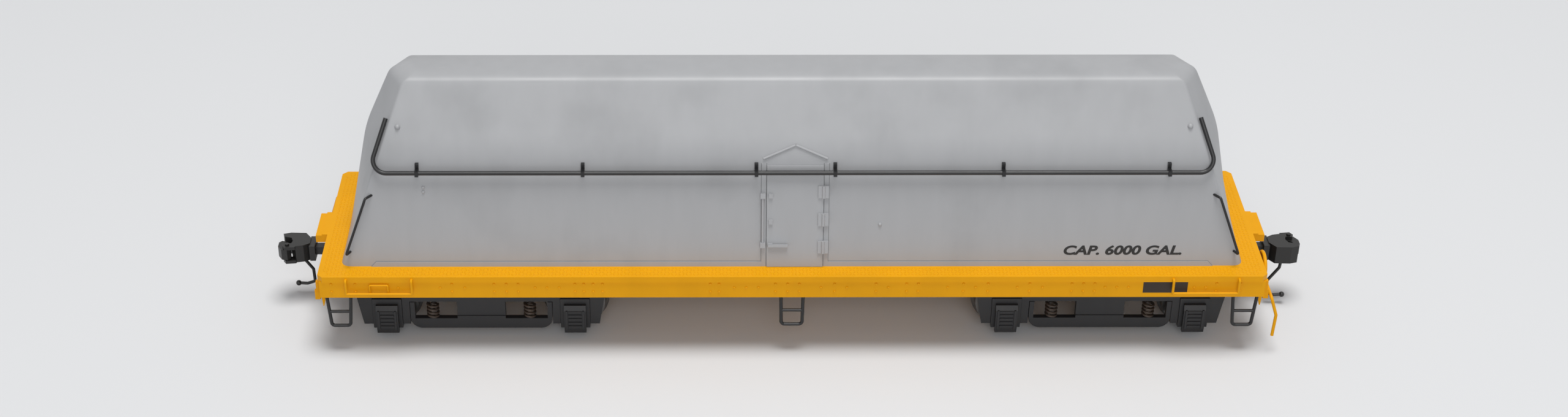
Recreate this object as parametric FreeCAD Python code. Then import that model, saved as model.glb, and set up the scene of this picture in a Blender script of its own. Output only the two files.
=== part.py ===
import FreeCAD
import Part
import math
import os

from FreeCAD import Vector

# Model railway covered wagon at 1:87.1, a closed grey hood on a yellow flat underframe, with two
# four-wheel drop-equalizer trucks and knuckle couplers.
# Millimetres at the model's own size. X runs along the wagon, Y across it, Z up from the floor
# that the wheel flanges stand on. The front side is -Y; the brake wheel is at the +X end.

# ---- driving dimensions ---------------------------------------------------------------------

deck_length = 162.0
deck_width = 35.0
deck_top = 16.0
deck_thickness = 1.1

sill_height = 3.2
sill_thickness = 1.2
sill_inset = 0.25

hood_length = 154.6
hood_width = 28.1
hood_height = 31.8
hood_knee = 20.3
hood_wall = 1.2
side_lean_low = 0.209
side_lean_high = 0.488
ridge_lean_low = 0.205
ridge_lean_high = 0.448
hip_lean = 0.375
knee_blend = 2.6
roof_round = 2.3

truck_spacing = 107.8
truck_wheelbase = 32.7
truck_half_width = 12.3
side_frame_thickness = 1.4
truck_frame_top = 11.0

wheel_tread_diameter = 10.4
wheel_flange_height = 0.62
wheel_width = 2.8
wheel_back_to_back = 14.4
axle_diameter = 1.6
journal_diameter = 1.2
running_clearance = 0.05

coupler_height = 10.6
coupler_reach = 9.5
shank_width = 1.5
shank_height = 1.5
draft_box_width = 6.4
draft_box_height = 3.4
draft_box_length = 9.0

pipe_diameter = 0.76
pipe_height = 17.0
pipe_end_height = 25.2
wire_diameter = 0.45
step_wire_diameter = 0.6
step_drop = 6.0

weight_length = 88.0
weight_width = 17.0
weight_height = 4.2

centre_sill_width = 7.0
cross_bearer_pitch = 14.0
bolster_gap = 0.3
kingpin_diameter = 2.4

door_width = 9.6
door_height = 18.2
door_thickness = 0.35

# ---- sizes that follow ----------------------------------------------------------------------

deck_half = deck_length / 2
deck_bottom = deck_top - deck_thickness
sill_bottom = deck_bottom - sill_height
sill_face = deck_width / 2 - sill_inset
sill_back = sill_face - sill_thickness
wheel_radius = wheel_tread_diameter / 2
flange_radius = wheel_radius + wheel_flange_height
axle_height = flange_radius
truck_half = truck_spacing / 2
axle_offset = truck_wheelbase / 2
hood_half = hood_length / 2
hood_half_width = hood_width / 2
end_face = deck_half - sill_inset


# ---- helpers --------------------------------------------------------------------------------

def box(x0, x1, y0, y1, z0, z1):
    """A block between two corners."""
    return Part.makeBox(x1 - x0, y1 - y0, z1 - z0, Vector(x0, y0, z0))


def rod(start, axis, radius, length):
    """A straight round bar from start along axis."""
    return Part.makeCylinder(radius, length, Vector(*start), Vector(*axis))


def prism_y(outline, y0, y1):
    """An outline of (x, z) points made solid from y0 to y1."""
    points = [Vector(x, y0, z) for x, z in outline]
    face = Part.Face(Part.makePolygon(points + points[:1]))
    return face.extrude(Vector(0, y1 - y0, 0))


def prism_x(outline, x0, x1):
    """An outline of (y, z) points made solid from x0 to x1."""
    points = [Vector(x0, y, z) for y, z in outline]
    face = Part.Face(Part.makePolygon(points + points[:1]))
    return face.extrude(Vector(x1 - x0, 0, 0))


def fuse(shapes):
    """Touching shapes joined into one clean solid."""
    joined = shapes[0].fuse(shapes[1:]) if len(shapes) > 1 else shapes[0]
    return joined.removeSplitter()


def bent_wire(points, diameter, bend):
    """Round wire along straight runs that are joined by tangent arcs."""
    corners = [Vector(*point) for point in points]
    edges = []
    start = corners[0]
    for before, corner, after in zip(corners, corners[1:], corners[2:]):
        towards = (before - corner).normalize()
        onwards = (after - corner).normalize()
        half_angle = towards.getAngle(onwards) / 2
        setback = bend / math.tan(half_angle)
        first = corner + towards * setback
        last = corner + onwards * setback
        middle_direction = (towards + onwards).normalize()
        centre = corner + middle_direction * (bend / math.sin(half_angle))
        middle = centre - middle_direction * bend
        edges.append(Part.LineSegment(start, first).toShape())
        edges.append(Part.Arc(first, middle, last).toShape())
        start = last
    edges.append(Part.LineSegment(start, corners[-1]).toShape())
    direction = (corners[1] - corners[0]).normalize()
    section = Part.Wire(Part.makeCircle(diameter / 2, corners[0], direction))
    return Part.Wire(edges).makePipeShell([section], True, True)


def turned(shape):
    """The same shape at the opposite side and end of the wagon."""
    copy = shape.copy()
    copy.rotate(Vector(0, 0, 0), Vector(0, 0, 1), 180)
    return copy


def mirrored(shape, normal):
    """The shape reflected through the origin's plane with that normal."""
    return shape.mirror(Vector(0, 0, 0), Vector(*normal))


def with_turned(shape):
    """A shape and its twin at the opposite side and end."""
    return [shape, turned(shape)]


def at_four_corners(shape):
    """A shape made at one corner of the wagon, and its copies at the other three."""
    other_end = mirrored(shape, (1, 0, 0))
    return [shape, other_end, mirrored(shape, (0, 1, 0)), mirrored(other_end, (0, 1, 0))]


def save(node, shapes):
    """Write one named piece, or a group of like pieces, as a STEP file."""
    solids = [solid for shape in shapes for solid in shape.Solids]
    whole = solids[0] if len(solids) == 1 else Part.makeCompound(solids)
    whole.exportStep("parts/" + node + ".step")


# ---- hood: closed, domed, with ends shaped like an upturned boat ------------------------------

def bent_line(height, low_slope, high_slope):
    """How far a surface has leaned in at a height: two slopes, blended round the knee."""
    above = height - hood_knee
    lean = low_slope * height
    if above > knee_blend:
        lean += (high_slope - low_slope) * above
    elif above > -knee_blend:
        lean += (high_slope - low_slope) * (above + knee_blend) ** 2 / (4 * knee_blend)
    return lean


def roof_turn(height):
    """0 where the sides begin to round over into the roof, 1 at the roof's top."""
    return max(0.0, (height - (hood_height - roof_round)) / roof_round)


def hood_section(height, wall):
    """The hood's outline at a height above the deck, drawn in by a wall's thickness."""
    level = min(height, hood_height - 0.02)
    turn = roof_turn(level)
    half_width = (hood_half_width - bent_line(level, side_lean_low, side_lean_high)) * math.sqrt(1 - turn ** 6)
    ridge = hood_half - bent_line(level, ridge_lean_low, ridge_lean_high) - 1.6 * turn ** 4
    hip = hood_half - hip_lean * level - 2.1 * turn ** 4
    half_width -= wall
    ridge -= wall
    hip -= wall
    outline = [(-ridge, 0), (-hip, -half_width), (hip, -half_width), (ridge, 0), (hip, half_width), (-hip, half_width)]
    points = [Vector(x, y, deck_top + height) for x, y in outline]
    return Part.makePolygon(points + points[:1])


def hood_solid(wall):
    """The closed form of the hood, lofted through outlines that crowd together at the curves."""
    levels = [0, hood_knee - knee_blend, hood_knee, hood_knee + knee_blend, hood_height - roof_round]
    levels += [hood_height - roof_round * (1 - turn) for turn in (0.4, 0.65, 0.8, 0.9, 0.96, 0.99)]
    if wall:
        levels = [level for level in levels if level < hood_height - roof_round * 0.5]
        levels[-1] = hood_height - max(wall, roof_round * 0.5)
    sections = [hood_section(level, wall) for level in levels]
    return Part.makeLoft(sections, True, True)


def side_place(x, height, stand_off=0.0):
    """A point on the hood's front side, at x and a height above the deck, standing off the skin."""
    lean = bent_line(height, side_lean_low, side_lean_high)
    return (x, -(hood_half_width - lean) - stand_off, deck_top + height)


def on_front_side(shape, height):
    """Lay a shape made flat (x along, y = 0 at the skin, z up from height 0) on the leaning side."""
    laid = shape.copy()
    laid.rotate(Vector(0, 0, 0), Vector(1, 0, 0), -math.degrees(math.atan(side_lean_low)))
    x, y, z = side_place(0, height)
    laid.translate(Vector(x, y, z))
    return laid


def make_hood():
    shell = hood_solid(0).cut(hood_solid(hood_wall))
    save("hood", [shell])


# ---- side doors: leaf, hinges, latches and drip rails -----------------------------------------

def make_doors():
    leaf_centre = 0.4
    left = leaf_centre - door_width / 2
    right = leaf_centre + door_width / 2
    leaf = on_front_side(box(left, right, -door_thickness, 0, 0, door_height), 0)
    save("side_doors", with_turned(leaf))

    hinge_heights = [3.6, 8.6, 13.6]
    hinges = []
    for height in hinge_heights:
        plate = box(right - 0.9, right + 0.9, -door_thickness - 0.25, -door_thickness, height - 1.1, height + 1.1)
        seat = box(right + 0.02, right + 0.9, -door_thickness, 0, height - 1.1, height + 1.1)
        barrel = rod((right, -door_thickness - 0.25, height - 1.1), (0, 0, 1), 0.28, 2.2)
        hinges += with_turned(on_front_side(fuse([plate, seat, barrel]), 0))
    save("door_hinges", hinges)

    lock_rod = rod((left - 0.7, -0.45, 3.8), (0, 0, 1), 0.2, 9.4)
    keepers = [box(left - 1.1, left - 0.25, -0.75, 0, height - 0.45, height + 0.45) for height in (4.0, 12.9)]
    catches = []
    for height in (8.2, 12.9):
        catches.append(box(left + 0.3, left + 1.0, -door_thickness - 0.3, -door_thickness, height - 0.4, height + 0.4))
    handle = box(left + 0.2, left + 3.6, -door_thickness - 0.55, -door_thickness - 0.1, 3.75, 4.15)
    handle_boss = box(left + 0.2, left + 1.0, -door_thickness - 0.4, -door_thickness, 3.6, 4.3)
    fittings = []
    for piece in [fuse([lock_rod] + keepers), fuse([handle, handle_boss])] + catches:
        fittings += with_turned(on_front_side(piece, 0))
    save("door_latches", fittings)

    rail_low = 19.0
    rail_high = 21.2
    rail = []
    for side in (-1, 1):
        start = side_place(leaf_centre + side * (door_width / 2 + 0.6), rail_low, 0.1)
        peak = side_place(leaf_centre + side * 0.05, rail_high, 0.1)
        along = Vector(*peak) - Vector(*start)
        rail.append(Part.makeCylinder(0.22, along.Length, Vector(*start), along))
    save("drip_rails", with_turned(fuse(rail).cut(hood_solid(0))))


# ---- pipe rails round the hood, and the corner grab irons --------------------------------------

def make_pipes():
    stand_off = 0.95
    radius = pipe_diameter / 2
    lean = bent_line(pipe_height, side_lean_low, side_lean_high)
    pipe_y = -(hood_half_width - lean) - stand_off
    pipe_z = deck_top + pipe_height
    hip_x = hood_half - hip_lean * pipe_height
    corner_x = hip_x + 0.75
    end_x = hood_half - hip_lean * pipe_end_height + 0.75
    end_y = side_place(0, pipe_end_height)[1] + 0.3
    route = [
        (-end_x, end_y, deck_top + pipe_end_height),
        (-corner_x, pipe_y, pipe_z),
        (0, pipe_y, pipe_z),
    ]
    half_pipe = bent_wire(route, pipe_diameter, 2.2)
    pipe = fuse([half_pipe, mirrored(half_pipe, Vector(1, 0, 0))])
    brackets = []
    for x in (-63.5, -35.5, -6.2, 7.1, 35.5, 63.5):
        hanger_top = side_place(x, pipe_height + 1.2)
        back = hanger_top[1] + 0.15
        strap = box(x - 0.3, x + 0.3, pipe_y - radius - 0.12, pipe_y + 0.2, pipe_z - radius - 0.12, pipe_z + radius + 0.1)
        arm = box(x - 0.3, x + 0.3, pipe_y, back, pipe_z - 0.2, pipe_z + radius + 0.1)
        foot = box(x - 0.3, x + 0.3, back - 0.75, back, pipe_z + 0.2, pipe_z + 1.35)
        brackets.append(fuse([strap, arm, foot]))
    front = fuse([pipe] + brackets)
    front = front.cut(hood_solid(0))
    save("front_pipe_rail", [front])
    save("rear_pipe_rail", [turned(front)])


def make_corner_grab_irons():
    stand_off = 1.1
    bottom = 2.6
    top = 12.6
    hip_bottom = hood_half - hip_lean * bottom
    hip_top = hood_half - hip_lean * top
    route = [
        side_place(hip_bottom - 0.9, bottom, -0.3),
        side_place(hip_bottom - 0.2, bottom, stand_off),
        side_place(hip_top - 0.2, top, stand_off),
        side_place(hip_top - 1.3, top, -0.3),
    ]
    iron = bent_wire(route, wire_diameter, 0.3)
    iron = iron.cut(hood_solid(0))
    save("corner_grab_irons", at_four_corners(iron))


# ---- underframe: deck, side sills, end sills, centre sill, weight ------------------------------

def make_underframe():
    corner = 2.2
    outline = [
        (-deck_half + corner * 0.4, -deck_width / 2), (deck_half - corner * 0.4, -deck_width / 2),
        (deck_half, -deck_width / 2 + corner * 0.4), (deck_half, deck_width / 2 - corner * 0.4),
        (deck_half - corner * 0.4, deck_width / 2), (-deck_half + corner * 0.4, deck_width / 2),
        (-deck_half, deck_width / 2 - corner * 0.4), (-deck_half, -deck_width / 2 + corner * 0.4),
    ]
    points = [Vector(x, y, deck_bottom) for x, y in outline]
    deck = Part.Face(Part.makePolygon(points + points[:1])).extrude(Vector(0, 0, deck_thickness))
    save("deck", [deck])

    sill_half = end_face
    channel = [
        (-sill_face, deck_bottom), (-sill_face, sill_bottom), (-sill_back + 0.9, sill_bottom),
        (-sill_back + 0.9, sill_bottom + 0.5), (-sill_back, sill_bottom + 0.5), (-sill_back, deck_bottom),
    ]
    sill = prism_x(channel, -sill_half, sill_half)
    save("front_side_sill", [sill])
    save("rear_side_sill", [turned(sill)])

    end_sill_thickness = 1.3
    draft_half = draft_box_width / 2
    draft_top = coupler_height + draft_box_height / 2
    end_outline = [
        (-sill_back - 0.0, deck_bottom), (-sill_back - 0.0, sill_bottom + 0.6), (-draft_half - 2.4, sill_bottom + 0.2),
        (-draft_half - 0.7, sill_bottom - 1.2), (-draft_half - 0.1, sill_bottom - 1.2), (-draft_half - 0.1, draft_top + 0.1),
        (draft_half + 0.1, draft_top + 0.1), (draft_half + 0.1, sill_bottom - 1.2), (draft_half + 0.7, sill_bottom - 1.2),
        (draft_half + 2.4, sill_bottom + 0.2), (sill_back, sill_bottom + 0.6), (sill_back, deck_bottom),
    ]
    end_sill = prism_x(end_outline, end_face - end_sill_thickness, end_face)
    striker = box(deck_half - 0.3, deck_half + 2.1, -3.7, 3.7, deck_bottom - 0.6, deck_bottom)
    striker_top = box(deck_half, deck_half + 2.1, -3.7, 3.7, deck_bottom, deck_top - 0.35)
    striker_lip = box(deck_half, deck_half + 1.0, -3.7, 3.7, deck_top - 0.35, deck_top - 0.1)
    end_sill = fuse([end_sill, striker, striker_top, striker_lip])
    save("right_end_sill", [end_sill])
    save("left_end_sill", [turned(end_sill)])

    box_back = deck_half - draft_box_length
    draft_box = box(box_back, deck_half - 0.2, -draft_half, draft_half,
                    coupler_height - draft_box_height / 2, coupler_height + draft_box_height / 2)
    cavity = box(box_back + 0.8, deck_half + 1, -draft_half + 0.7, draft_half - 0.7,
                 coupler_height - shank_height / 2 - 0.15, coupler_height + shank_height / 2 + 0.15)
    pin = rod((box_back + 3.2, 0, coupler_height - 1.3), (0, 0, 1), 0.75, 2.6)
    draft_gear = fuse([draft_box.cut(cavity), pin])
    save("draft_boxes", with_turned(draft_gear))

    centre_half = centre_sill_width / 2
    centre_top = deck_bottom
    spine_bottom = sill_bottom + 0.3
    bolster_bottom = truck_frame_top + 0.9
    spine = box(-box_back, box_back, -centre_half, centre_half, draft_top, centre_top)
    low_spine = box(-truck_half + 24, truck_half - 24, -centre_half, centre_half, spine_bottom, draft_top)
    members = [spine, low_spine]
    for x in (-truck_half, truck_half):
        members.append(box(x - 3, x + 3, -sill_back + 0.9, sill_back - 0.9, bolster_bottom + 0.6, centre_top))
        members.append(rod((x, 0, bolster_bottom), (0, 0, 1), 3.4, draft_top - bolster_bottom + 0.5))
    bearer_count = 4
    for number in range(bearer_count):
        x = (number - (bearer_count - 1) / 2) * cross_bearer_pitch
        members.append(box(x - 0.6, x + 0.6, -sill_back + 0.9, sill_back - 0.9, spine_bottom + 0.6, centre_top))
    frame = fuse(members)
    for x in (-truck_half, truck_half):
        frame = frame.cut(rod((x, 0, bolster_bottom - 1), (0, 0, 1), kingpin_diameter / 2, 20))
    save("centre_sill", [frame])

    weight = box(-weight_length / 2, weight_length / 2, -weight_width / 2, weight_width / 2,
                 deck_top, deck_top + weight_height)
    save("weight_block", [weight])


# ---- steps, grab irons and small fittings on the underframe ------------------------------------

def ladder_step(left_x, right_x, splay, y, top, drop, upper_drop):
    """A hanging wire step: a bent loop with its lower tread, and an upper rung between the legs."""
    loop = bent_wire([
        (left_x, y, top), (left_x + splay, y, top - drop),
        (right_x - splay, y, top - drop), (right_x, y, top),
    ], step_wire_diameter, 0.6)
    share = upper_drop / drop
    radius = step_wire_diameter / 2
    rung_left = left_x + splay * share
    rung_right = right_x - splay * share
    rung = rod((rung_left, y, top - upper_drop), (1, 0, 0), radius * 0.9, rung_right - rung_left)
    return fuse([loop, rung])


def make_small_fittings():
    step_y = -sill_face + step_wire_diameter / 2 + 0.1
    corner_step = ladder_step(-deck_half + 1.3, -deck_half + 5.4, 0.45, step_y, sill_bottom, step_drop, 3.1)
    save("corner_steps", at_four_corners(corner_step))
    side_step = ladder_step(-1.9, 1.9, 0.1, step_y, sill_bottom, step_drop - 0.2, 2.9)
    save("middle_steps", with_turned(side_step))

    iron_y = -sill_face - 0.75
    high = deck_bottom + 0.6
    low = sill_bottom + 1.2
    left = -deck_half + 4.9
    right = left + 11.2
    grab = bent_wire([
        (left, -deck_width / 2, high), (left, iron_y, high), (left, iron_y, low),
        (right, iron_y, low), (right, iron_y, high), (right, -deck_width / 2, high),
    ], wire_diameter, 0.25)
    save("sill_grab_irons", at_four_corners(grab))

    socket_left = left + 4.0
    socket_right = left + 7.1
    socket = bent_wire([
        (socket_left, -sill_face, low - 0.4), (socket_left, -sill_face - 0.35, low - 0.4),
        (socket_left, -sill_face - 0.35, low + 1.5), (socket_right, -sill_face - 0.35, low + 1.5),
        (socket_right, -sill_face - 0.35, low - 0.4), (socket_right, -sill_face, low - 0.4),
    ], 0.3, 0.16)
    save("rope_staples", with_turned(socket))

    plate = prism_y([
        (end_face - 0.95, sill_bottom), (end_face - 0.05, sill_bottom),
        (end_face - 0.25, sill_bottom - 2.2), (end_face - 0.4, sill_bottom - 2.2),
    ], -sill_face + 0.8, -sill_face + 1.2)
    save("corner_plates", at_four_corners(plate))

    bracket_y = -sill_face + 1.6
    block = box(end_face, end_face + 0.8, bracket_y - 0.4, bracket_y + 0.4, sill_bottom + 0.6, sill_bottom + 2.4)
    ear = box(end_face + 0.2, end_face + 1.1, bracket_y - 0.3, bracket_y + 0.3, sill_bottom - 1.2, sill_bottom + 0.6)
    save("corner_brackets", at_four_corners(fuse([block, ear])))

    lever_x = end_face + 1.55
    lever_z = sill_bottom - 0.6
    lever = bent_wire([
        (lever_x, -4.2, lever_z), (lever_x, bracket_y - 1.0, lever_z),
        (lever_x + 1.1, bracket_y - 1.3, lever_z - 3.4), (lever_x + 0.9, bracket_y - 1.3, lever_z - 7.6),
    ], 0.55, 0.5)
    save("uncoupling_levers", with_turned(lever))

    wheel_x = end_face + 0.9
    wheel_y = -10.2
    wheel_z = deck_top - 2.6
    rim = Part.makeTorus(2.5, 0.32, Vector(wheel_x, wheel_y, wheel_z), Vector(1, 0, 0))
    dish = rod((wheel_x - 0.12, wheel_y, wheel_z), (1, 0, 0), 2.5, 0.24)
    hub = rod((end_face, wheel_y, wheel_z), (1, 0, 0), 0.6, wheel_x - end_face + 0.4)
    save("brake_wheel", [fuse([dish, rim, hub])])


# ---- trucks -----------------------------------------------------------------------------------

def truck_side():
    """One side frame in the truck's own place: pedestals over the journals, joined by a top bar."""
    outer_y = -truck_half_width
    inner_y = outer_y + side_frame_thickness
    slot_top = 7.5
    outline = [
        (-axle_offset - 5.6, truck_frame_top), (-axle_offset - 4.2, 2.9), (-axle_offset - 2.6, 2.9),
        (-axle_offset - 2.6, 8.2), (-axle_offset + 2.6, 8.2), (-axle_offset + 2.6, 2.9),
        (-axle_offset + 3.9, 2.9), (-axle_offset + 3.9, slot_top), (axle_offset - 3.9, slot_top),
        (axle_offset - 3.9, 2.9), (axle_offset - 2.6, 2.9), (axle_offset - 2.6, 8.2),
        (axle_offset + 2.6, 8.2), (axle_offset + 2.6, 2.9), (axle_offset + 4.2, 2.9),
        (axle_offset + 5.6, truck_frame_top),
    ]
    return prism_y(outline, outer_y, inner_y)


def journal_box(x):
    """A journal box in its pedestal, bored blind from inside for the axle's end."""
    outer_y = -truck_half_width
    body = box(x - 2.55, x + 2.55, outer_y - 0.2, outer_y + side_frame_thickness + 0.2, 2.2, 8.15)
    face = prism_x([
        (outer_y - 0.2, 1.6), (outer_y - 0.9, 1.6), (outer_y - 1.1, 2.6),
        (outer_y - 1.1, 6.2), (outer_y - 0.7, 7.1), (outer_y - 0.2, 7.1),
    ], x - 1.9, x + 1.9)
    solid = fuse([body, face])
    bore_radius = journal_diameter / 2 + running_clearance
    return solid.cut(rod((x, outer_y + 0.2, axle_height), (0, 1, 0), bore_radius, 4))


def equalizer():
    """The low bar hung between the journals, rounded up at both ends."""
    outer_y = -truck_half_width - 0.1
    half = axle_offset - 4.0
    plate = box(-half, half, outer_y, outer_y + 1.0, 2.1, 7.45)
    slot = box(-half + 0.8, half - 0.8, outer_y - 1, outer_y + 2, 4.1, 7.6)
    bar = plate.cut(slot)
    bottom_edges = [edge for edge in bar.Edges
                    if edge.BoundBox.YLength > 0.9 and edge.BoundBox.ZMax < 2.2]
    return bar.makeFillet(2.0, bottom_edges)


def coil_spring(x):
    """A coil spring between the equalizer and the frame, moulded as a ringed column."""
    y = -truck_half_width + 0.55
    foot = 4.1
    top = 7.5
    rings = 4
    pitch = (top - foot) / rings
    parts = [rod((x, y, foot), (0, 0, 1), 0.66, top - foot)]
    for number in range(rings):
        parts.append(Part.makeTorus(0.85, pitch * 0.34, Vector(x, y, foot + (number + 0.5) * pitch), Vector(0, 0, 1)))
    return fuse(parts)


def make_truck(name, centre_x):
    def placed(shape):
        moved = shape.copy()
        moved.translate(Vector(centre_x, 0, 0))
        return moved

    side = truck_side()
    save(name + "_side_frames", [placed(side), placed(mirrored(side, (0, 1, 0)))])

    boxes = []
    for x in (-axle_offset, axle_offset):
        near = journal_box(x)
        boxes += [placed(near), placed(mirrored(near, (0, 1, 0)))]
    save(name + "_journal_boxes", boxes)

    bar = equalizer()
    save(name + "_equalizers", [placed(bar), placed(mirrored(bar, (0, 1, 0)))])

    springs = []
    for x in (-8.4, 8.4):
        spring = coil_spring(x)
        springs += [placed(spring), placed(mirrored(spring, (0, 1, 0)))]
    save(name + "_springs", springs)

    leaf_block = box(-4.2, 4.2, -truck_half_width + 0.05, -truck_half_width + 1.2, 4.1, 7.5)
    clamp_plate = box(-4.2, 4.2, -truck_half_width - 0.1, -truck_half_width + 1.2, 4.1, 4.6)
    leaf = fuse([leaf_block, clamp_plate])
    save(name + "_leaf_springs", [placed(leaf), placed(mirrored(leaf, (0, 1, 0)))])

    inner_y = -truck_half_width + side_frame_thickness
    beam = box(-3.2, 3.2, inner_y, -inner_y, 7.6, truck_frame_top)
    plate = rod((0, 0, truck_frame_top - 0.5), (0, 0, 1), 3.4, 0.5 + 0.9 - bolster_gap)
    bolster = fuse([beam, plate])
    bolster = bolster.cut(rod((0, 0, 0), (0, 0, 1), kingpin_diameter / 2 + running_clearance, 20))
    save(name + "_bolster", [placed(bolster)])


def make_kingpins():
    pins = []
    for x in (-truck_half, truck_half):
        head = rod((x, 0, 6.9), (0, 0, 1), 2.0, 0.6)
        shank = rod((x, 0, 7.4), (0, 0, 1), kingpin_diameter / 2, deck_bottom - 7.4)
        pins.append(fuse([head, shank]))
    save("kingpins", pins)


def make_wheelset(name, centre_x):
    half_gauge = wheel_back_to_back / 2
    journal_end = truck_half_width - 0.3
    shoulder = half_gauge + wheel_width + 0.4
    half_profile = [
        (0, 0), (axle_diameter / 2, 0), (axle_diameter / 2, shoulder),
        (journal_diameter / 2, shoulder), (journal_diameter / 2, journal_end), (0, journal_end),
    ]
    points = [Vector(centre_x, y, axle_height + r) for r, y in half_profile]
    half_axle = Part.Face(Part.makePolygon(points + points[:1])).revolve(
        Vector(centre_x, 0, axle_height), Vector(0, 1, 0), 360)
    axle = fuse([half_axle, mirrored(half_axle, (0, 1, 0))])
    save(name + "_axle", [axle])

    rim = wheel_radius
    outer = half_gauge + wheel_width
    profile = [
        (axle_diameter / 2, half_gauge + 0.2), (2.2, half_gauge + 0.2), (2.6, half_gauge + 0.7),
        (rim - 1.3, half_gauge + 0.7), (rim - 1.0, half_gauge + 0.1), (rim + 0.1, half_gauge),
        (flange_radius, half_gauge + 0.25), (flange_radius, half_gauge + 0.5), (rim + 0.1, half_gauge + 0.85),
        (rim, half_gauge + 1.1), (rim - 0.08, outer), (rim - 0.95, outer), (rim - 1.2, outer - 0.7),
        (2.5, outer - 0.9), (1.9, outer - 0.1), (axle_diameter / 2, outer - 0.1),
    ]
    points = [Vector(centre_x, y, axle_height + r) for r, y in profile]
    wheel = Part.Face(Part.makePolygon(points + points[:1])).revolve(
        Vector(centre_x, 0, axle_height), Vector(0, 1, 0), 360)
    save(name + "_wheels", [wheel, mirrored(wheel, (0, 1, 0))])


# ---- couplers ---------------------------------------------------------------------------------

def make_coupler(name, at_left_end):
    def placed(shape):
        return turned(shape) if at_left_end else shape

    centre = coupler_height
    pivot_x = deck_half - draft_box_length + 3.2
    tip = deck_half + coupler_reach
    half_head = 1.7
    eye = rod((pivot_x, 0, centre - shank_height / 2), (0, 0, 1), 1.7, shank_height)
    shank = box(pivot_x, tip - 5.0, -shank_width / 2, shank_width / 2, centre - shank_height / 2, centre + shank_height / 2)
    horn = box(tip - 6.6, tip - 5.6, -1.7, 1.7, centre - 1.5, centre + 1.5)
    head_outline = [
        (tip - 5.7, -0.9), (tip - 4.6, -2.5), (tip - 1.9, -2.6), (tip - 0.6, -2.2), (tip - 0.9, -1.3),
        (tip - 2.2, -0.9), (tip - 2.6, 0.1), (tip - 2.4, 0.9), (tip - 3.2, 1.9), (tip - 4.6, 1.6), (tip - 5.7, 0.9),
    ]
    points = [Vector(x, y, centre - half_head) for x, y in head_outline]
    head = Part.Face(Part.makePolygon(points + points[:1])).extrude(Vector(0, 0, 2 * half_head))
    coupler = fuse([eye, shank, horn, head])
    coupler = coupler.cut(rod((pivot_x, 0, 0), (0, 0, 1), 0.75 + running_clearance, 30))
    knuckle_x = tip - 1.75
    knuckle_y = 1.5
    lug_outline = [(tip - 3.4, 0.9), (tip - 1.2, 0.9), (tip - 0.9, 1.6), (tip - 1.4, 2.4), (tip - 3.2, 2.2)]
    for low in (centre - half_head, centre + half_head - 0.6):
        points = [Vector(x, y, low) for x, y in lug_outline]
        coupler = coupler.fuse(Part.Face(Part.makePolygon(points + points[:1])).extrude(Vector(0, 0, 0.6)))
    coupler = coupler.removeSplitter()
    coupler = coupler.cut(rod((knuckle_x, knuckle_y, 0), (0, 0, 1), 0.35 + running_clearance, 30))
    save(name, [placed(coupler)])

    inner_half = half_head - 0.6 - 0.06
    knuckle_outline = [
        (tip - 2.25, 1.0), (tip - 2.0, 0.6), (tip - 1.2, 0.2), (tip - 1.25, -0.7), (tip - 0.5, -0.9),
        (tip, -0.4), (tip, 0.9), (tip - 0.7, 2.0), (tip - 1.75, 2.3), (tip - 2.25, 1.9),
    ]
    points = [Vector(x, y, centre - inner_half) for x, y in knuckle_outline]
    knuckle = Part.Face(Part.makePolygon(points + points[:1])).extrude(Vector(0, 0, 2 * inner_half))
    pin = rod((knuckle_x, knuckle_y, centre - half_head - 0.3), (0, 0, 1), 0.35, 2 * half_head + 0.6)
    save(name + "_knuckle", [placed(fuse([knuckle, pin]))])

    hose_x = tip - 3.4
    hose_y = -2.0
    route = [
        (hose_x, hose_y, centre - half_head), (hose_x - 0.1, hose_y, centre - half_head - 1.2),
        (hose_x - 1.9, hose_y, centre - half_head - 3.9), (hose_x - 2.0, hose_y, 2.4),
        (hose_x - 0.6, hose_y, 1.9), (hose_x + 1.0, hose_y, 2.0),
    ]
    trip_pin = bent_wire(route, 0.55, 0.45)
    bulb = Part.makeSphere(0.5, Vector(hose_x + 1.0, hose_y, 2.0))
    save(name + "_trip_pin", [placed(fuse([trip_pin, bulb]))])


# ---- build everything -------------------------------------------------------------------------

os.makedirs("parts", exist_ok=True)
make_hood()
make_doors()
make_pipes()
make_corner_grab_irons()
make_underframe()
make_small_fittings()
make_kingpins()
make_truck("left_truck", -truck_half)
make_truck("right_truck", truck_half)
for truck_name, truck_x in (("left", -truck_half), ("right", truck_half)):
    make_wheelset(truck_name + "_outer_wheelset", truck_x + math.copysign(axle_offset, truck_x))
    make_wheelset(truck_name + "_inner_wheelset", truck_x - math.copysign(axle_offset, truck_x))
make_coupler("left_coupler", True)
make_coupler("right_coupler", False)
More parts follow.
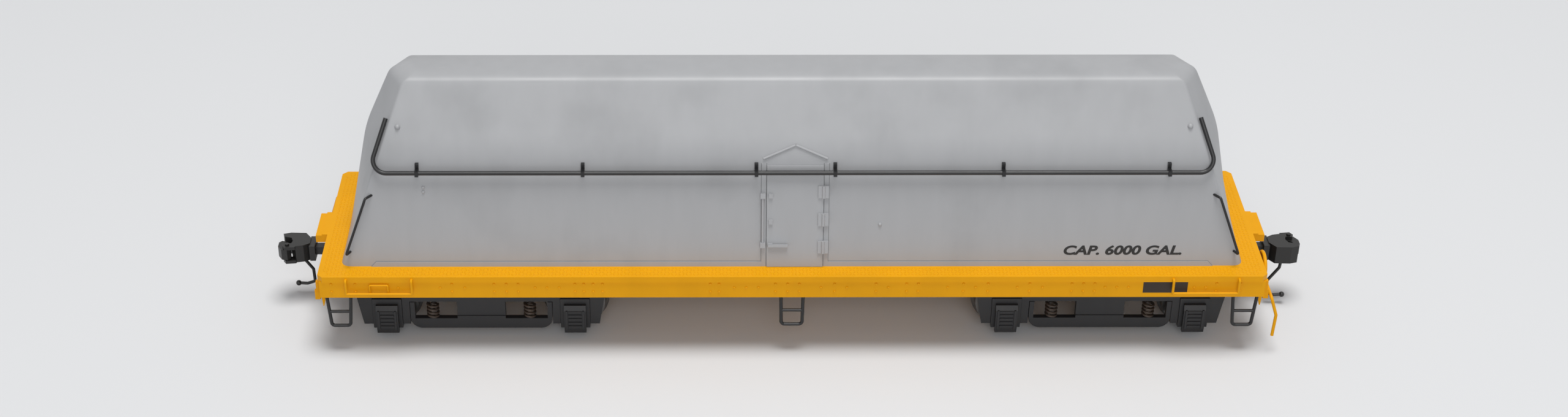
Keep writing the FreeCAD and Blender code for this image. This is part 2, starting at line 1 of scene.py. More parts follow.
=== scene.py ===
import bpy
import bmesh
import math
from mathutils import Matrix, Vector


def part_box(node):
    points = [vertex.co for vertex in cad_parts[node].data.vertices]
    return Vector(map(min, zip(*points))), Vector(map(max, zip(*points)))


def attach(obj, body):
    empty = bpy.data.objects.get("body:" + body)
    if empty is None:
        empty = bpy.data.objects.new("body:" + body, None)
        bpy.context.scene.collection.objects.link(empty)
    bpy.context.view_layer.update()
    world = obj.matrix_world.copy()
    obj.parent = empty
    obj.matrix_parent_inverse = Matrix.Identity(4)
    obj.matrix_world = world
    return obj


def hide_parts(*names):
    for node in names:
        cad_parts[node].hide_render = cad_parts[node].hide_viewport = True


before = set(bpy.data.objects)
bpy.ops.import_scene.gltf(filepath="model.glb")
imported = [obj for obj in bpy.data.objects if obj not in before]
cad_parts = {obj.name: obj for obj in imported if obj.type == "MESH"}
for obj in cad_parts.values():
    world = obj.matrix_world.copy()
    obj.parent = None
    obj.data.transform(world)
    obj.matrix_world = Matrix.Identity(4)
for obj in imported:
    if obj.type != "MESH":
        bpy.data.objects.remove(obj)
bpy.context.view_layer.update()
scene = bpy.context.scene
MM = 0.001


# ---- Camera --------------------------------------------------------------------------------
# A long lens looks down on the front side from about a third of a metre, level with the
# wagon's length. The small sideways shift only centres the wagon in the wide frame.

camera_place = Vector((-13.9, -355.7, 239.5)) * MM
camera_pitch = math.radians(31.81)
camera_yaw = math.radians(0.1)
camera_data = bpy.data.cameras.new("camera")
camera_data.lens = 54.69
camera_data.sensor_width = 36
camera_data.shift_x = 0.0444
camera_data.clip_start = 0.01
camera = bpy.data.objects.new("camera", camera_data)
camera.location = camera_place
camera.rotation_euler = (math.pi / 2 - camera_pitch, 0, -camera_yaw)
scene.collection.objects.link(camera)
scene.camera = camera


# ---- Studio --------------------------------------------------------------------------------
# A pale floor runs out of sight, with a broad soft lamp over the front of the wagon and an
# even pale surround, so that every side is lit at a plain level.

studio_grey = (0.78, 0.78, 0.78, 1)


def lamp(name, place, target, size, power, tint=(1, 1, 1)):
    """A round soft lamp turned towards a target."""
    data = bpy.data.lights.new(name, "AREA")
    data.shape = "DISK"
    data.size = size
    data.energy = power
    data.color = tint
    light = bpy.data.objects.new(name, data)
    light.location = place
    light.rotation_euler = (Vector(target) - Vector(place)).to_track_quat("-Z", "Y").to_euler()
    scene.collection.objects.link(light)


lamp("top_lamp", (0.05, -0.12, 1.1), (0, 0, 0.02), 0.5, 8.5, (1.0, 0.995, 0.985))
lamp("front_lamp", (0.05, -1.1, 0.6), (0, 0, 0.02), 0.7, 4.0)

world = bpy.data.worlds.new("surround")
scene.world = world
world.use_nodes = True
surround = world.node_tree
surround.nodes.clear()
rays = surround.nodes.new("ShaderNodeLightPath")
seen = surround.nodes.new("ShaderNodeBackground")
seen.inputs["Color"].default_value = studio_grey
fill = surround.nodes.new("ShaderNodeBackground")
fill.inputs["Color"].default_value = (0.93, 0.96, 1.0, 1)
fill.inputs["Strength"].default_value = 0.3
pick = surround.nodes.new("ShaderNodeMixShader")
out = surround.nodes.new("ShaderNodeOutputWorld")
either = surround.nodes.new("ShaderNodeMath")
either.operation = "MAXIMUM"
surround.links.new(rays.outputs["Is Camera Ray"], either.inputs[0])
surround.links.new(rays.outputs["Is Glossy Ray"], either.inputs[1])
surround.links.new(either.outputs[0], pick.inputs["Fac"])
surround.links.new(fill.outputs[0], pick.inputs[1])
surround.links.new(seen.outputs[0], pick.inputs[2])
surround.links.new(pick.outputs[0], out.inputs["Surface"])


def mesh_piece(name, points, faces, material=None):
    """A finished mesh object at the origin, with its place in its points."""
    mesh = bpy.data.meshes.new(name)
    mesh.from_pydata(points, [], faces)
    mesh.update()
    piece = bpy.data.objects.new(name, mesh)
    scene.collection.objects.link(piece)
    if material:
        mesh.materials.append(material)
    return piece


floor_half = 3.0
floor = mesh_piece(
    "floor",
    [(-floor_half, -floor_half, 0), (floor_half, -floor_half, 0),
     (floor_half, floor_half, 0), (-floor_half, floor_half, 0)],
    [(0, 1, 2, 3)])
floor_finish = bpy.data.materials.new("floor_finish")
floor_finish.use_nodes = True
floor_shader = floor_finish.node_tree.nodes["Principled BSDF"]
floor_shader.inputs["Base Color"].default_value = (0.74, 0.745, 0.755, 1)
floor_shader.inputs["Roughness"].default_value = 0.9
floor_shader.inputs["Specular IOR Level"].default_value = 0.1
floor.data.materials.append(floor_finish)


# ---- Underframe -----------------------------------------------------------------------------
# A black centre sill with draft boxes at its ends carries the wagon, and a steel block inside gives
# it weight. Screws hold the trucks. The plastic is moulded and sprayed, so each paint has faint
# upright streaks, a fine grain, and grime in patches.

def new_group(name, inputs, outputs):
    """An empty shader node group with these sockets."""
    group = bpy.data.node_groups.new(name, "ShaderNodeTree")
    for label, kind, value in inputs:
        socket = group.interface.new_socket(label, in_out="INPUT", socket_type=kind)
        socket.default_value = value
    for label, kind in outputs:
        group.interface.new_socket(label, in_out="OUTPUT", socket_type=kind)
    return group, group.nodes.new("NodeGroupInput"), group.nodes.new("NodeGroupOutput")


def sprayed_paint_group():
    """Streaks, grime and grain as one shared effect."""
    group, given, result = new_group(
        "sprayed_paint",
        [("Colour", "NodeSocketColor", (0.5, 0.5, 0.5, 1)), ("Streaks", "NodeSocketFloat", 0.05),
         ("Grime", "NodeSocketFloat", 0.1), ("Roughness", "NodeSocketFloat", 0.45)],
        [("Colour", "NodeSocketColor"), ("Roughness", "NodeSocketFloat"), ("Height", "NodeSocketFloat")])
    nodes, links = group.nodes, group.links
    place = nodes.new("ShaderNodeTexCoord")

    def noise(scale, stretch, detail):
        mapping = nodes.new("ShaderNodeMapping")
        mapping.inputs["Scale"].default_value = stretch
        links.new(place.outputs["Object"], mapping.inputs["Vector"])
        texture = nodes.new("ShaderNodeTexNoise")
        texture.inputs["Scale"].default_value = scale
        texture.inputs["Detail"].default_value = detail
        links.new(mapping.outputs["Vector"], texture.inputs["Vector"])
        return texture.outputs["Fac"]

    streak = noise(420, (1, 1, 0.07), 3)
    cloud = noise(60, (1, 1, 1), 4)
    grain = noise(9000, (1, 1, 1), 1)

    def math_node(kind, first, second):
        node = nodes.new("ShaderNodeMath")
        node.operation = kind
        for socket, value in zip(node.inputs, (first, second)):
            if isinstance(value, (int, float)):
                socket.default_value = value
            else:
                links.new(value, socket)
        return node.outputs[0]

    swing = math_node("MULTIPLY", math_node("SUBTRACT", streak, 0.5), given.outputs["Streaks"])
    patches = math_node("MAXIMUM", math_node("SUBTRACT", cloud, 0.52), 0.0)
    dirt = math_node("MULTIPLY", patches, given.outputs["Grime"])
    level = math_node("SUBTRACT", math_node("ADD", swing, 1.0), dirt)
    shade = nodes.new("ShaderNodeMix")
    shade.data_type = "RGBA"
    shade.blend_type = "MULTIPLY"
    shade.inputs["Factor"].default_value = 1.0
    links.new(given.outputs["Colour"], shade.inputs["A"])
    links.new(level, shade.inputs["B"])
    links.new(shade.outputs["Result"], result.inputs["Colour"])
    rough_swing = math_node("MULTIPLY", math_node("SUBTRACT", cloud, 0.5), 0.25)
    rough = math_node("ADD", given.outputs["Roughness"], rough_swing)
    links.new(rough, result.inputs["Roughness"])
    links.new(grain, result.inputs["Height"])
    return group


sprayed_paint = sprayed_paint_group()


def paint(name, colour, streaks=0.05, grime=0.3, roughness=0.45, bump=0.02, metallic=0.0,
          gloss=0.5):
    """A Principled material fed by the sprayed paint group."""
    material = bpy.data.materials.new(name)
    material.use_nodes = True
    nodes, links = material.node_tree.nodes, material.node_tree.links
    shader = nodes["Principled BSDF"]
    shader.inputs["Metallic"].default_value = metallic
    shader.inputs["Specular IOR Level"].default_value = gloss
    effect = nodes.new("ShaderNodeGroup")
    effect.node_tree = sprayed_paint
    effect.inputs["Colour"].default_value = (*colour, 1)
    effect.inputs["Streaks"].default_value = streaks
    effect.inputs["Grime"].default_value = grime
    effect.inputs["Roughness"].default_value = roughness
    relief = nodes.new("ShaderNodeBump")
    relief.inputs["Strength"].default_value = bump
    relief.inputs["Distance"].default_value = 0.00005
    links.new(effect.outputs["Colour"], shader.inputs["Base Color"])
    links.new(effect.outputs["Roughness"], shader.inputs["Roughness"])
    links.new(effect.outputs["Height"], relief.inputs["Height"])
    links.new(relief.outputs["Normal"], shader.inputs["Normal"])
    return material


def finish_nodes(material, *names):
    """Give CAD nodes this material."""
    for name in names:
        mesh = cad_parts[name].data
        mesh.materials.clear()
        mesh.materials.append(material)


underframe_black = paint("underframe_black", (0.01, 0.01, 0.011), streaks=0.2, grime=0.3, roughness=0.6)
raw_steel = paint("raw_steel", (0.3, 0.3, 0.3), streaks=0.1, grime=0.4, roughness=0.4, metallic=0.9)
finish_nodes(underframe_black, "centre_sill", "draft_boxes")
finish_nodes(raw_steel, "weight_block", "kingpins")


# ---- Deck -----------------------------------------------------------------------------------
# The yellow walkway is tread plate, with crossed raised marks all round the foot of the hood.
# It is one flat moulding that drops onto the sills, sprayed with them.

frame_yellow = paint("frame_yellow", (0.8, 0.36, 0.001), streaks=0.06, grime=0.45, roughness=0.42, gloss=0.15)
finish_nodes(frame_yellow, "deck", "front_side_sill", "rear_side_sill", "left_end_sill", "right_end_sill",
             "sill_grab_irons", "rope_staples", "corner_plates", "corner_brackets",
             "uncoupling_levers", "brake_wheel")


def repeat_tree(name, inputs):
    """A Geometry Nodes tree that stands one small shape on every point it is given."""
    tree = bpy.data.node_groups.new(name, "GeometryNodeTree")
    tree.interface.new_socket("Geometry", in_out="INPUT", socket_type="NodeSocketGeometry")
    for label, kind, value in inputs:
        tree.interface.new_socket(label, in_out="INPUT", socket_type=kind).default_value = value
    tree.interface.new_socket("Material", in_out="INPUT", socket_type="NodeSocketMaterial")
    tree.interface.new_socket("Geometry", in_out="OUTPUT", socket_type="NodeSocketGeometry")
    given = tree.nodes.new("NodeGroupInput")
    result = tree.nodes.new("NodeGroupOutput")
    place = tree.nodes.new("GeometryNodeInstanceOnPoints")
    realize = tree.nodes.new("GeometryNodeRealizeInstances")
    cover = tree.nodes.new("GeometryNodeSetMaterial")
    tree.links.new(given.outputs["Geometry"], place.inputs["Points"])
    tree.links.new(place.outputs["Instances"], realize.inputs["Geometry"])
    tree.links.new(realize.outputs["Geometry"], cover.inputs["Geometry"])
    tree.links.new(given.outputs["Material"], cover.inputs["Material"])
    tree.links.new(cover.outputs["Geometry"], result.inputs["Geometry"])
    return tree, given, place


def bead_tree(name, subdivisions):
    """A ball, scaled to its radii and turned, on every point."""
    tree, given, place = repeat_tree(name, [
        ("Radii", "NodeSocketVector", (1, 1, 1)), ("Turn", "NodeSocketVector", (0, 0, 0))])
    ball = tree.nodes.new("GeometryNodeMeshIcoSphere")
    ball.inputs["Subdivisions"].default_value = subdivisions
    ball.inputs["Radius"].default_value = 1.0
    tree.links.new(ball.outputs["Mesh"], place.inputs["Instance"])
    tree.links.new(given.outputs["Radii"], place.inputs["Scale"])
    tree.links.new(given.outputs["Turn"], place.inputs["Rotation"])
    return tree


def stand_on(name, tree, places, values, material, body):
    """Run a repeat tree on a list of places in millimetres and keep the plain mesh."""
    source = mesh_piece(name + "_places", [tuple(Vector(p) * MM) for p in places], [])
    modifier = source.modifiers.new("repeat", "NODES")
    modifier.node_group = tree
    sockets = {item.name: item.identifier for item in tree.interface.items_tree
               if item.item_type == "SOCKET" and item.in_out == "INPUT"}
    for label, value in values.items():
        modifier[sockets[label]] = value
    modifier[sockets["Material"]] = material
    bpy.context.view_layer.update()
    mesh = bpy.data.meshes.new_from_object(source.evaluated_get(bpy.context.evaluated_depsgraph_get()))
    source.modifiers.remove(modifier)
    bpy.data.objects.remove(source)
    mesh.polygons.foreach_set("use_smooth", [True] * len(mesh.polygons))
    piece = bpy.data.objects.new(name, mesh)
    scene.collection.objects.link(piece)
    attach(piece, body)
    return piece


buttons = bead_tree("pressed_buttons", 2)
lozenges = bead_tree("tread_marks", 1)
deck_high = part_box("deck")[1] / MM
deck_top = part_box("deck")[1].z / MM
hood_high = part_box("hood")[1]
hood_half = hood_high.x / MM
hood_half_width = hood_high.y / MM
tread_pitch = 0.62
tread_margin = 0.45
tread_marks = {1: [], -1: []}
columns = int((deck_high.x - tread_margin) / tread_pitch)
rows = int((deck_high.y - tread_margin) / tread_pitch)
for column in range(-columns, columns + 1):
    for row in range(-rows, rows + 1):
        x, y = column * tread_pitch, row * tread_pitch
        under_hood = abs(x) < hood_half + 0.2 and abs(y) < hood_half_width + 0.3
        cut_corner = abs(x) > deck_high.x - 1.6 and abs(y) > deck_high.y - 1.6
        if not under_hood and not cut_corner:
            tread_marks[1 if (column + row) % 2 else -1].append((x, y, deck_top))
mark_radii = (0.27 * MM, 0.09 * MM, 0.055 * MM)
for slant, name in ((1, "tread_marks_right"), (-1, "tread_marks_left")):
    stand_on(name, lozenges, tread_marks[slant],
             {"Radii": mark_radii, "Turn": (0, 0, slant * math.pi / 4)},
             frame_yellow, "car")


# ---- Sills ----------------------------------------------------------------------------------
# Round-headed rivets stand on both yellow side sills: upright pairs where the cross members land,
# and single ones between them along the middle. A dark stencil patch is printed near one end.

sill_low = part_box("front_side_sill")[0] / MM
pair_stations = [
    -78.7, -74.6, -58.1, -50.9, -48.8, -46.8, -37.1, -35.6, -34.0, -32.4, -14.0, -12.5, -2.9, -0.8,
    1.2, 7.2, 14.3, 19.5, 21.5, 29.2, 33.4, 40.5, 47.7, 49.7, 51.6, 72.4, 76.5]
single_stations = [
    -67.3, -60.1, -55.9, -43.9, -41.9, -39.8, -9.9, -7.9, -5.8, 4.9, 9.3, 16.4, 26.5, 31.3, 38.4,
    42.7, 53.4, 55.4, 57.4, 68.6, 70.6]
upper_row, middle_row, lower_row = 2.75, 2.0, 1.2
rivet_places = []
for x in pair_stations:
    rivet_places += [(x, sill_low.z + upper_row), (x, sill_low.z + lower_row)]
rivet_places += [(x, sill_low.z + middle_row) for x in single_stations]
rivets = []
for x, z in rivet_places:
    rivets += [(x, sill_low.y, z), (-x, -sill_low.y, z)]
stand_on("sill_rivets", buttons, rivets, {"Radii": (0.24 * MM, 0.2 * MM, 0.24 * MM), "Turn": (0, 0, 0)},
         frame_yellow, "car")

patch_brown = paint("patch_brown", (0.022, 0.011, 0.004), streaks=0.1, grime=0.3, roughness=0.5)


def half_turned(points, half_turn):
    """The points in metres, carried to the far side of the wagon when half_turn is set."""
    if half_turn:
        points = [Vector((-p.x, -p.y, p.z)) for p in points]
    return [p * MM for p in points]


def joined(name, parts, material, body):
    """Several (points, faces) parts as one piece."""
    points, faces = [], []
    for part_points, part_faces in parts:
        base = len(points)
        points += [tuple(p) for p in part_points]
        faces += [tuple(base + index for index in face) for face in part_faces]
    piece = mesh_piece(name, points, faces, material)
    shape = bmesh.new()
    shape.from_mesh(piece.data)
    bmesh.ops.recalc_face_normals(shape, faces=shape.faces)
    shape.to_mesh(piece.data)
    shape.free()
    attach(piece, body)
    return piece


def flat_plate(x0, x1, z0, z1, y, half_turn):
    """A thin printed patch on the sill's face."""
    thickness = 0.03
    outline = ((x0, z0), (x1, z0), (x1, z1), (x0, z1))
    points = [Vector((x, depth, z)) for depth in (y, y - thickness) for x, z in outline]
    points = half_turned(points, half_turn)
    faces = [(0, 3, 2, 1), (4, 5, 6, 7), (0, 1, 5, 4), (1, 2, 6, 5), (2, 3, 7, 6), (3, 0, 4, 7)]
    return points, faces


patches = [flat_plate(59.9, 67.5, sill_low.z + 0.9, sill_low.z + 3.15, sill_low.y, half_turn)
           for half_turn in (False, True)]
joined("stencil_patches", patches,
       patch_brown, "car")


# ---- Hood -----------------------------------------------------------------------------------
# One grey moulding: leaning sides that bend in at a knee and round over into the roof, and ends
# that come to an upright ridge, like an upturned boat. Its standing corners are rounded.

hood_grey = paint("hood_grey", (0.37, 0.374, 0.385), streaks=0.09, grime=0.5, roughness=0.42, bump=0.05)
hood_height = hood_high.z / MM - deck_top
hood_knee = 20.3
knee_blend = 2.6
roof_round = 2.3
side_lean = (0.209, 0.488)
ridge_lean = (0.205, 0.448)
hip_lean = 0.375


def bent_line(height, low_slope, high_slope):
    """How far a surface has leaned in at a height: two slopes, blended round the knee."""
    above = height - hood_knee
    lean = low_slope * height
    if above > knee_blend:
        lean += (high_slope - low_slope) * above
    elif above > -knee_blend:
        lean += (high_slope - low_slope) * (above + knee_blend) ** 2 / (4 * knee_blend)
    return lean


def rounded_ring(corners, radii, steps, support):
    """An outline with arcs for corners, and a point beside each arc to hold the flats flat."""
    ring = []
    for number, corner in enumerate(corners):
        here = Vector(corner)
        back = (Vector(corners[number - 1]) - here)
        ahead = (Vector(corners[(number + 1) % len(corners)]) - here)
        reach = min(back.length, ahead.length) * 0.3
        half_angle = back.angle(ahead) / 2
        setback = min(radii[number] / math.tan(half_angle), reach)
        back.normalize()
        ahead.normalize()
        ring.append(here + back * (setback + min(support, reach)))
        for step in range(steps + 1):
            share = step / steps
            first = here + back * setback * (1 - share)
            last = here + ahead * setback * share
            ring.append(first.lerp(last, share))
        ring.append(here + ahead * (setback + min(support, reach)))
    return ring


def hood_ring(height):
    """The hood's rounded outline at a height above the deck."""
    turn = max(0.0, (height - (hood_height - roof_round)) / roof_round)
    half_width = (hood_half_width - bent_line(height, *side_lean)) * math.sqrt(1 - turn ** 6)
    ridge = hood_half - bent_line(height, *ridge_lean) - 1.6 * turn ** 4
    hip = hood_half - hip_lean * height - 2.1 * turn ** 4
    corners = [(-ridge, 0), (-hip, -half_width), (hip, -half_width),
               (ridge, 0), (hip, half_width), (-hip, half_width)]
    corner_radius = max(0.45, 1.9 * (1 - height / 14))
    radii = [0.6, corner_radius, corner_radius, 0.6, corner_radius, corner_radius]
    return [(p.x * MM, p.y * MM, (deck_top + height) * MM) for p in rounded_ring(corners, radii, 5, 0.5)]


straight_levels = [0, 1, 3, 6, 9, 12, 15, hood_knee - knee_blend]
knee_levels = [hood_knee - knee_blend + knee_blend * step / 4 for step in range(1, 9)]
lean_levels = [24.4, 26, 27.6, hood_height - roof_round]
roof_steps = 16
roof_levels = [hood_height - roof_round * (1 - math.sin(step / roof_steps * math.pi / 2) ** 0.8)
               for step in range(1, roof_steps)]
hood_levels = straight_levels + knee_levels + lean_levels + roof_levels
rings = [hood_ring(level) for level in hood_levels]
ring_size = len(rings[0])
hood_points = [point for ring in rings for point in ring]
hood_faces = []
for level in range(len(rings) - 1):
    for number in range(ring_size):
        after = (number + 1) % ring_size
        low, high = level * ring_size, (level + 1) * ring_size
        hood_faces.append((low + number, low + after, high + after, high + number))
hood_faces.append(tuple(reversed(range(ring_size))))
hood_faces.append(tuple(range((len(rings) - 1) * ring_size, len(rings) * ring_size)))
hood = mesh_piece("hood_shell", hood_points, hood_faces, hood_grey)
hood.data.polygons.foreach_set("use_smooth", [True] * len(hood.data.polygons))
hood.data.set_sharp_from_angle(angle=math.radians(40))
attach(hood, "car")
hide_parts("hood")

finish_nodes(hood_grey, "side_doors", "door_hinges", "door_latches", "drip_rails")


def side_point(x, height, stand_off):
    """A point off the hood's front side, at x and a height above the deck, in millimetres."""
    reach = hood_half_width - bent_line(height, *side_lean) + stand_off
    return Vector((x, -reach, deck_top + height))


# ---- Hood trim ------------------------------------------------------------------------------
# A low lap strip with cut ends runs along the foot of each side, and the door stands in a thin
# raised frame. Thin dark grey strips along the edges of both are painted shade, and small cast fittings are
# stuck to the skin.

def lay_on_side(outline, thickness, half_turn):
    """An outline of (x, height) points as a thin plate on the leaning side of the hood."""
    inner = [side_point(x, h, -0.05) for x, h in outline]
    outer = [side_point(x, h, thickness) for x, h in outline]
    count = len(outline)
    points = inner + outer
    faces = [tuple(reversed(range(count))), tuple(range(count, 2 * count))]
    for number in range(count):
        after = (number + 1) % count
        faces.append((number, after, count + after, count + number))
    return half_turned(points, half_turn), faces


door_centre = 0.4
door_half_width = 4.8
door_height = 18.2
door_gap = 0.12
leaf_left, leaf_right = door_centre - door_half_width, door_centre + door_half_width
frame_width = 0.9
frame_left, frame_right = leaf_left - frame_width, leaf_right + frame_width
strip_cut = 0.8
strip_end = 72.0
strip_height = 0.85
trim = []
for half_turn in (False, True):
    for near_x, far_x in ((frame_left, -strip_end), (frame_right, strip_end)):
        top_x = far_x - math.copysign(strip_cut, far_x)
        lap = [(near_x, 0), (near_x, strip_height), (top_x, strip_height), (far_x, 0)]
        trim.append(lay_on_side(lap, 0.14, half_turn))
    for inner_x, outer_x in ((leaf_left - door_gap, frame_left), (leaf_right + door_gap, frame_right)):
        post = [(inner_x, 0), (outer_x, 0), (outer_x, door_height), (inner_x, door_height)]
        trim.append(lay_on_side(post, 0.12, half_turn))
joined("hood_trim", trim, hood_grey, "car")

# Painted shade: thin dark grey strips laid along the door gaps and the edges of the lap strips and door
# frame.
seam_shade_grey = paint("seam_shade_grey", (0.2, 0.205, 0.21), streaks=0.3, grime=0.6, roughness=0.5)
shade_strip_width = 0.1
shade_strips = []
for half_turn in (False, True):
    for near_x, far_x in ((frame_left, -strip_end), (frame_right, strip_end)):
        top_x = far_x - math.copysign(strip_cut, far_x)
        foot_x = far_x + math.copysign(shade_strip_width, far_x)
        line_top = strip_height + shade_strip_width
        line = [(near_x, strip_height), (near_x, line_top), (top_x, line_top), (top_x, strip_height)]
        shade_strips.append(lay_on_side(line, 0.03, half_turn))
        edge = [(top_x, strip_height), (top_x, line_top), (foot_x, 0), (far_x, 0)]
        shade_strips.append(lay_on_side(edge, 0.03, half_turn))
    for x in (frame_left - shade_strip_width, leaf_left - door_gap, leaf_right + 0.02, frame_right):
        post = [(x, 0), (x + shade_strip_width, 0), (x + shade_strip_width, door_height), (x, door_height)]
        shade_strips.append(lay_on_side(post, 0.04, half_turn))
joined("hood_seam_shade", shade_strips, seam_shade_grey, "car")


def domed_points(x, height, radius, proud, half_turn, rings_count=4, sides=14):
    """A low round boss on the hood's side."""
    centre = side_point(x, height, -0.05)
    lean = math.atan(side_lean[0] if height < hood_knee else side_lean[1])
    outward = Vector((0, -math.cos(lean), math.sin(lean)))
    along = Vector((1, 0, 0))
    up = along.cross(outward)
    points, faces = [], []
    for ring in range(rings_count):
        angle = ring / rings_count * math.pi / 2
        for side in range(sides):
            turn = side / sides * math.tau
            flat = (along * math.cos(turn) + up * math.sin(turn)) * radius * math.cos(angle)
            points.append(centre + flat + outward * (0.05 + proud) * math.sin(angle))
    points.append(centre + outward * (0.05 + proud))
    for ring in range(rings_count - 1):
        for side in range(sides):
            after = (side + 1) % sides
            low, high = ring * sides, (ring + 1) * sides
            faces.append((low + side, low + after, high + after, high + side))
    last = (rings_count - 1) * sides
    for side in range(sides):
        faces.append((last + side, last + (side + 1) % sides, len(points) - 1))
    faces.append(tuple(reversed(range(sides))))
    return half_turned(points, half_turn), faces


bosses = []
for half_turn in (False, True):
    for x, height, radius, proud in ((-66.6, 24.0, 0.5, 0.5), (66.8, 24.0, 0.5, 0.5), (14.9, 7.4, 0.34, 0.3),
                                     (-62.6, 14.0, 0.3, 0.3), (-62.6, 13.2, 0.3, 0.3)):
        bosses.append(domed_points(x, height, radius, proud, half_turn))
joined("hood_bosses", bosses, hood_grey, "car")


# ---- Capacity lettering ---------------------------------------------------------------------
# Black sloped capitals give the capacity low on each side, towards its right-hand end. They are
# printed, so they lie on the skin with almost no thickness.

letter_ink = paint("letter_ink", (0.008, 0.008, 0.008), streaks=0.1, grime=0.1, roughness=0.5)


def lettering(half_turn):
    """The capacity line, fitted to its place and pressed onto the leaning side."""
    curve = bpy.data.curves.new("lettering", "FONT")
    curve.body = "CAP. 6000 GAL."
    curve.size = 1.0
    curve.shear = 0.22
    curve.offset = 0.034
    curve.extrude = 0.004
    curve.resolution_u = 6
    source = bpy.data.objects.new("lettering_source", curve)
    scene.collection.objects.link(source)
    bpy.context.view_layer.update()
    mesh = bpy.data.meshes.new_from_object(source.evaluated_get(bpy.context.evaluated_depsgraph_get()))
    bpy.data.objects.remove(source)
    xs = [v.co.x for v in mesh.vertices]
    ys = [v.co.y for v in mesh.vertices]
    left, baseline, width, tall = 46.4, 1.95, 20.2, 1.72
    for vertex in mesh.vertices:
        x = left + (vertex.co.x - min(xs)) / (max(xs) - min(xs)) * width
        height = baseline + (vertex.co.y - min(ys)) / (max(ys) - min(ys)) * tall
        place = side_point(x, height, 0.02 + vertex.co.z * 2)
        if half_turn:
            place = Vector((-place.x, -place.y, place.z))
        vertex.co = place * MM
    mesh.materials.clear()
    mesh.materials.append(letter_ink)
    piece = bpy.data.objects.new("capacity_lettering_" + ("rear" if half_turn else "front"), mesh)
    scene.collection.objects.link(piece)
    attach(piece, "car")


lettering(False)
lettering(True)


# ---- Pipe rails, grab irons and steps -------------------------------------------------------
# A stout black pipe wraps round each side of the hood on hook brackets. Black wire grab irons
# stand by the four corners, and bent wire steps hang below the sills.

wire_black = paint("wire_black", (0.007, 0.007, 0.008), streaks=0.2, grime=0.3, roughness=0.35)
finish_nodes(wire_black, "front_pipe_rail", "rear_pipe_rail", "corner_grab_irons", "corner_steps",
             "middle_steps")


# ---- Trucks ---------------------------------------------------------------------------------
# Dark moulded truck sides. Each journal lid has raised bars, and each spring is a wound coil that
# stands between the equalizer and the frame. The wheels and axles are turned steel.

truck_grey = paint("truck_grey", (0.014, 0.014, 0.0155), streaks=0.3, grime=0.5, roughness=0.5)
wheel_steel = paint("wheel_steel", (0.17, 0.165, 0.16), streaks=0.1, grime=0.5, roughness=0.35, metallic=0.9)
# The springs are a dark warm brown.
spring_steel = paint("spring_steel", (0.05, 0.035, 0.026), streaks=0.4, grime=0.6, roughness=0.4,
                     metallic=0.3)


def coil_tree():
    """A wound spring on every point, with its rotations, radii and height as inputs."""
    tree, given, place = repeat_tree("wound_springs", [
        ("Coil Radius", "NodeSocketFloat", 1.0), ("Wire Radius", "NodeSocketFloat", 0.3),
        ("Height", "NodeSocketFloat", 3.0), ("Rotations", "NodeSocketFloat", 4.0)])
    spiral = tree.nodes.new("GeometryNodeCurveSpiral")
    spiral.inputs["Resolution"].default_value = 20
    ring = tree.nodes.new("GeometryNodeCurvePrimitiveCircle")
    ring.inputs["Resolution"].default_value = 10
    sweep = tree.nodes.new("GeometryNodeCurveToMesh")
    sweep.inputs["Fill Caps"].default_value = True
    for label in ("Start Radius", "End Radius"):
        tree.links.new(given.outputs["Coil Radius"], spiral.inputs[label])
    tree.links.new(given.outputs["Height"], spiral.inputs["Height"])
    tree.links.new(given.outputs["Rotations"], spiral.inputs["Rotations"])
    tree.links.new(given.outputs["Wire Radius"], ring.inputs["Radius"])
    tree.links.new(spiral.outputs["Curve"], sweep.inputs["Curve"])
    tree.links.new(ring.outputs["Curve"], sweep.inputs["Profile Curve"])
    tree.links.new(sweep.outputs["Mesh"], place.inputs["Instance"])
    return tree


coils = coil_tree()


def block(x0, x1, y0, y1, z0, z1):
    """A plain block as (points, faces)."""
    points = [Vector((x, y, z)) * MM for z in (z0, z1) for x, y in ((x0, y0), (x1, y0), (x1, y1), (x0, y1))]
    return points, [(0, 3, 2, 1), (4, 5, 6, 7), (0, 1, 5, 4), (1, 2, 6, 5), (2, 3, 7, 6), (3, 0, 4, 7)]


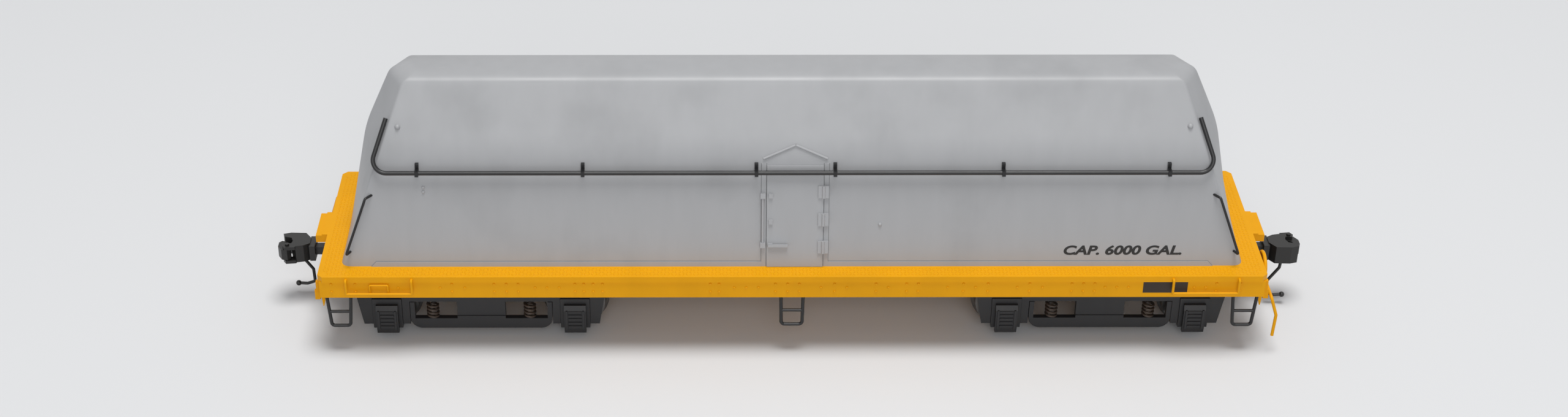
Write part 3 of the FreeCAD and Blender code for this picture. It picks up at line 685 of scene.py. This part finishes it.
for end in ("left", "right"):
    body = end + "_truck"
    for part in ("side_frames", "journal_boxes", "equalizers", "leaf_springs", "bolster"):
        finish_nodes(truck_grey, body + "_" + part)
    spring_low, spring_high = (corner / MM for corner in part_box(body + "_springs"))
    middle_x = (spring_low.x + spring_high.x) / 2
    reach_x = (spring_high.x - spring_low.x) / 2 - 1.1
    reach_y = spring_high.y - 1.1
    spots = [(middle_x + sx * reach_x, sy * reach_y, spring_low.z + 0.3) for sx in (-1, 1) for sy in (-1, 1)]
    springs = stand_on(body + "_coils", coils, spots,
                       {"Coil Radius": 0.88 * MM, "Wire Radius": 0.24 * MM,
                        "Height": (spring_high.z - spring_low.z - 0.6) * MM, "Rotations": 4.0},
                       spring_steel, body)
    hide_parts(body + "_springs")

    box_low, box_high = (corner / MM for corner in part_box(body + "_journal_boxes"))
    lids = []
    for box_x in (box_low.x + 2.55, box_high.x - 2.55):
        for side in (-1, 1):
            face_y = side * box_high.y
            for bar in range(5):
                z = 2.9 + bar * 0.75
                depth = sorted((face_y - side * 0.1, face_y + side * 0.16))
                lids.append(block(box_x - 1.15, box_x + 1.15, *depth, z, z + 0.3))
            for flank in (-1, 1):
                x = box_x + flank * 1.45
                depth = sorted((face_y - side * 0.1, face_y + side * 0.2))
                lids.append(block(x - 0.16, x + 0.16, *depth, 2.5, 6.3))
    joined(body + "_lid_bars", lids, truck_grey, body)

for end in ("left", "right"):
    for place in ("outer", "inner"):
        finish_nodes(wheel_steel, f"{end}_{place}_wheelset_wheels", f"{end}_{place}_wheelset_axle")


# ---- Couplers -------------------------------------------------------------------------------
# Satin black knuckle couplers swing in the draft boxes. Each has a hinged knuckle, and a bent trip
# pin shaped like an air hose.

coupler_black = paint("coupler_black", (0.012, 0.0115, 0.011), streaks=0.2, grime=0.3, roughness=0.38)

for end in ("left", "right"):
    finish_nodes(coupler_black, end + "_coupler", end + "_coupler_knuckle", end + "_coupler_trip_pin")


# ---- Finish ---------------------------------------------------------------------------------
# The wagon is complete, and colours are shown through the plain Standard view transform.

scene.view_settings.view_transform = "Standard"
